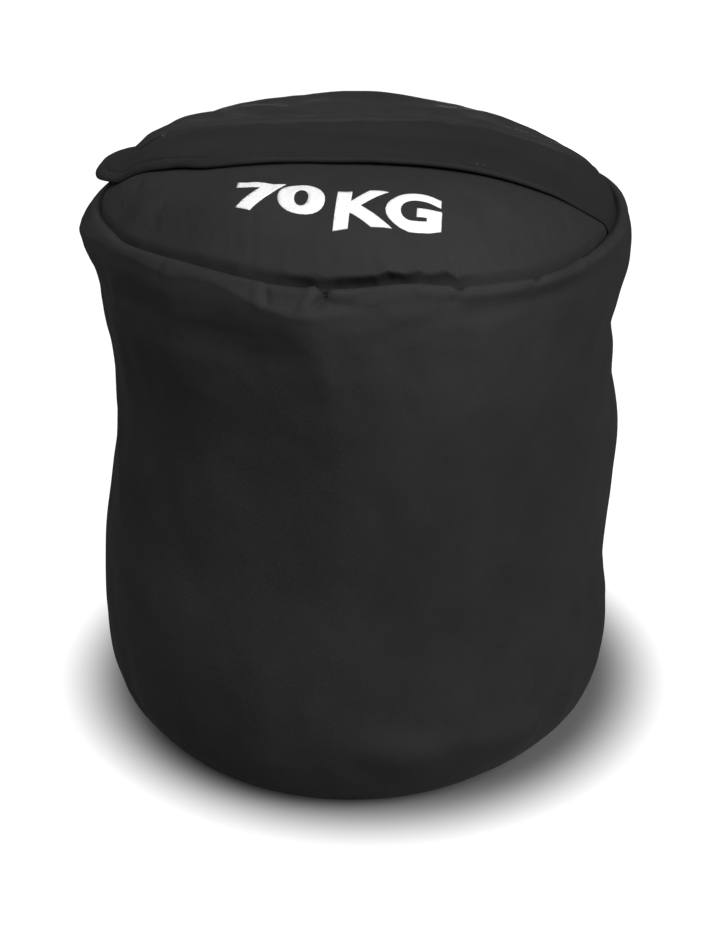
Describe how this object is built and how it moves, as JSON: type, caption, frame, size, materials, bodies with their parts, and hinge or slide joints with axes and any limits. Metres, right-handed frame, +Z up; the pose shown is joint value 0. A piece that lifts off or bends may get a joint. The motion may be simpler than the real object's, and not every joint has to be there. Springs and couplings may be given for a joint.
{
  "type": "sandbag trainer",
  "caption": "Cylindrical sewn sandbag for lifting and carrying, with a domed zipped top under a hook-and-loop flap, an inner liner and a sand fill.",
  "frame": {"origin": "middle of the base, on the floor", "axes": "+Z up the bag, -Y towards the front of the top, where the weight is marked, and X along the flap, whose free tongue points to -X"},
  "size_m": [0.404, 0.404, 0.4883],
  "materials": {
    "outer_cloth": "matte",
    "webbing": "matte",
    "hook_tape": "matte",
    "loop_tape": "matte",
    "zip_coil": "satin",
    "zip_metal": "satin",
    "liner_cloth": "matte",
    "sand": "matte"
  },
  "bodies": {
    "bag": {"wall_panel": "outer_cloth", "base_panel": "outer_cloth", "top_front_panel": "outer_cloth", "top_rear_panel": "outer_cloth", "panel_loop_tape": "loop_tape", "zip_tape_front": "webbing", "zip_tape_rear": "webbing", "zip_chain_front": "zip_coil", "zip_chain_rear": "zip_coil", "zip_stop_left": "zip_metal", "zip_stop_right": "zip_metal", "rim_seam_binding": "webbing", "base_seam_binding": "webbing", "wall_seam_tape": "webbing", "liner_bag": "liner_cloth", "liner_neck": "liner_cloth", "neck_strap": "webbing", "sand_fill": "sand"},
    "flap": {"closure_flap": "outer_cloth", "flap_lining": "outer_cloth", "flap_hook_tape": "hook_tape"},
    "slider": {"zip_slider": "zip_metal"},
    "pull_tab": {"zip_pull_tab": "zip_metal"}
  },
  "joints": [
    {"name": "flap_lift", "type": "hinge", "parent": "bag", "child": "flap", "pos_m": [0, 0.012, 0.4809], "axis": [-1, 0, 0], "range_deg": [0, 110]},
    {"name": "slider_travel", "type": "hinge", "parent": "bag", "child": "slider", "pos_m": [0, -0.035, -0.28057], "axis": [0, 1, 0], "range_deg": [0, 18]},
    {"name": "pull_tab_swing", "type": "hinge", "parent": "slider", "child": "pull_tab", "pos_m": [-0.1167, -0.035, 0.47138], "axis": [0, -1, 0], "range_deg": [0, 11]}
  ]
}
